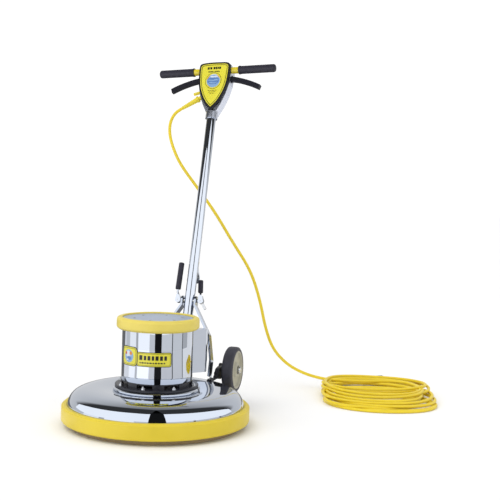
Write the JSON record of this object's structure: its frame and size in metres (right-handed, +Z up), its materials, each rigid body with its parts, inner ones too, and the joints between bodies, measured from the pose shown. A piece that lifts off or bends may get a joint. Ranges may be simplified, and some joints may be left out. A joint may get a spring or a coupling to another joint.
{
  "type": "rotary floor machine",
  "caption": "Walk-behind single-disc floor machine: round weighted deck under an upright motor, tilting tube handle with grips and triggers, rear wheels and a long power cord.",
  "frame": {"origin": "on the floor, at the middle of the round pad that the machine stands on", "axes": "+X is to the machine's right side as seen from its front, +Y is to the rear where the operator stands, +Z is up"},
  "size_m": [1.0371, 1.1967, 1.1205],
  "materials": {
    "chrome_plate": "mirror chrome plate over steel",
    "polished_aluminium": "buffed die-cast aluminium",
    "raw_casting": "as-cast aluminium, matt",
    "yellow_bumper": "yellow non-marking vinyl, satin",
    "yellow_paint": "yellow powder coat",
    "dark_grip": "dark blue-grey moulded rubber, satin",
    "black_plastic": "black moulded plastic",
    "cover_grey": "blue-grey smooth painted cover",
    "tyre_rubber": "dark grey solid rubber",
    "hub_plastic": "warm grey moulded plastic",
    "bright_steel": "zinc plated steel",
    "core_steel": "laminated steel",
    "hard_steel": "machined gear steel",
    "copper_winding": "varnished copper wire",
    "label_print": "printed plastic film with no text",
    "motor_print": "printed plastic film with no text",
    "yellow_cord": "yellow PVC jacket, satin",
    "yellow_moulding": "yellow moulded plastic",
    "pad_fibre": "open non-woven nylon fibre",
    "driver_plastic": "black moulded plastic with short tufts",
    "cast_black": "black painted casting",
    "white_nylon": "nylon",
    "spring_steel": "spring wire"
  },
  "bodies": {
    "base": {"axle": "bright_steel", "axle_brackets": "cast_black", "axle_fittings": "bright_steel", "ball_bearings": "hard_steel", "capacitor_box": "chrome_plate", "capacitors": "black_plastic", "cord_coil": "yellow_cord", "cover_screws": "bright_steel", "deck_apron": "chrome_plate", "deck_bumper": "yellow_bumper", "gear_case": "polished_aluminium", "hex_bolts": "bright_steel", "lower_end_bell": "polished_aluminium", "motor_bumper": "yellow_bumper", "motor_can": "chrome_plate", "motor_label": "motor_print", "motor_top_cover": "cover_grey", "plug_body": "black_plastic", "plug_prongs": "bright_steel", "ring_gear": "hard_steel", "stator_core": "core_steel", "stator_windings": "copper_winding", "upper_end_bell": "raw_casting", "yoke_arms": "chrome_plate"},
    "handle": {"handle_tube": "chrome_plate", "pivot_sleeve": "bright_steel", "clamp_bolt": "bright_steel", "cord_hook": "chrome_plate", "head_case": "polished_aluminium", "front_plate": "black_plastic", "front_label": "label_print", "plate_screws": "bright_steel", "handlebar": "yellow_paint", "grip_left": "dark_grip", "grip_right": "dark_grip", "power_switch": "black_plastic", "trigger_pins": "bright_steel", "strain_relief": "yellow_moulding", "cord_tube": "yellow_cord", "lock_spring": "spring_steel"},
    "trigger_left": {"trigger_left": "dark_grip"},
    "trigger_right": {"trigger_right": "dark_grip"},
    "lock_button": {"lock_button": "yellow_moulding"},
    "lever_left": {"cam_lever_left": "chrome_plate", "lever_grip_left": "dark_grip"},
    "lever_right": {"cam_lever_right": "chrome_plate", "lever_grip_right": "dark_grip"},
    "wheel_left": {"wheel_hub_left": "hub_plastic", "tyre_left": "tyre_rubber"},
    "wheel_right": {"wheel_hub_right": "hub_plastic", "tyre_right": "tyre_rubber"},
    "brush": {"planet_carrier": "hard_steel", "pad_driver": "driver_plastic", "floor_pad": "pad_fibre"},
    "rotor": {"motor_shaft": "hard_steel", "rotor_core": "core_steel", "cooling_fan": "black_plastic"},
    "planet_1": {"planet_gear_1": "white_nylon"},
    "planet_2": {"planet_gear_2": "white_nylon"},
    "planet_3": {"planet_gear_3": "white_nylon"}
  },
  "joints": [
    {"name": "handle_tilt", "type": "hinge", "parent": "base", "child": "handle", "pos_m": [0, 0.2878, 0.335], "axis": [-1, 0, 0], "range_deg": [-17, 60]},
    {"name": "lever_left_swing", "type": "hinge", "parent": "handle", "child": "lever_left", "pos_m": [-0.038, 0.2878, 0.335], "axis": [0, -0.9572, 0.2895], "range_deg": [0, 80]},
    {"name": "lever_right_swing", "type": "hinge", "parent": "handle", "child": "lever_right", "pos_m": [0.038, 0.2878, 0.335], "axis": [0, 0.9572, -0.2895], "range_deg": [0, 80]},
    {"name": "trigger_left_squeeze", "type": "hinge", "parent": "handle", "child": "trigger_left", "pos_m": [-0.04517, 0.5171, 1.05996], "axis": [0.1219, 0.95, -0.2874], "range_deg": [0, 14], "stiffness_Nm_per_rad": 1.2, "springref_deg": -14.32},
    {"name": "trigger_right_squeeze", "type": "hinge", "parent": "handle", "child": "trigger_right", "pos_m": [0.04614, 0.50637, 1.06321], "axis": [-0.1219, -0.95, 0.2874], "range_deg": [0, 14], "stiffness_Nm_per_rad": 1.2, "springref_deg": -14.32},
    {"name": "lock_button_press", "type": "slide", "parent": "handle", "child": "lock_button", "axis": [0.9587, -0.0377, 0.282], "range_m": [0, 0.005], "stiffness_N_per_m": 600, "springref_m": -0.002, "deforming": ["lock_spring"]},
    {"name": "wheel_left_spin", "type": "hinge", "parent": "base", "child": "wheel_left", "pos_m": [-0.155, 0.279, 0.1255], "axis": [1, 0, 0], "continuous": true},
    {"name": "wheel_right_spin", "type": "hinge", "parent": "base", "child": "wheel_right", "pos_m": [0.155, 0.279, 0.1255], "axis": [1, 0, 0], "continuous": true},
    {"name": "brush_spin", "type": "hinge", "parent": "base", "child": "brush", "pos_m": [0, 0, 0.05], "axis": [0, 0, 1], "continuous": true},
    {"name": "rotor_spin", "type": "hinge", "parent": "base", "child": "rotor", "pos_m": [0, 0, 0.2], "axis": [0, 0, 1], "continuous": true},
    {"name": "planet_1_spin", "type": "hinge", "parent": "brush", "child": "planet_1", "pos_m": [0.045, 0, 0.084], "axis": [0, 0, 1], "continuous": true},
    {"name": "planet_2_spin", "type": "hinge", "parent": "brush", "child": "planet_2", "pos_m": [-0.0225, 0.03897, 0.084], "axis": [0, 0, 1], "continuous": true},
    {"name": "planet_3_spin", "type": "hinge", "parent": "brush", "child": "planet_3", "pos_m": [-0.0225, -0.03897, 0.084], "axis": [0, 0, 1], "continuous": true}
  ],
  "couplings": [
    {"joint": "rotor_spin", "follows": "brush_spin", "ratio": 10},
    {"joint": "planet_1_spin", "follows": "brush_spin", "ratio": -2.25},
    {"joint": "planet_2_spin", "follows": "brush_spin", "ratio": -2.25},
    {"joint": "planet_3_spin", "follows": "brush_spin", "ratio": -2.25}
  ]
}
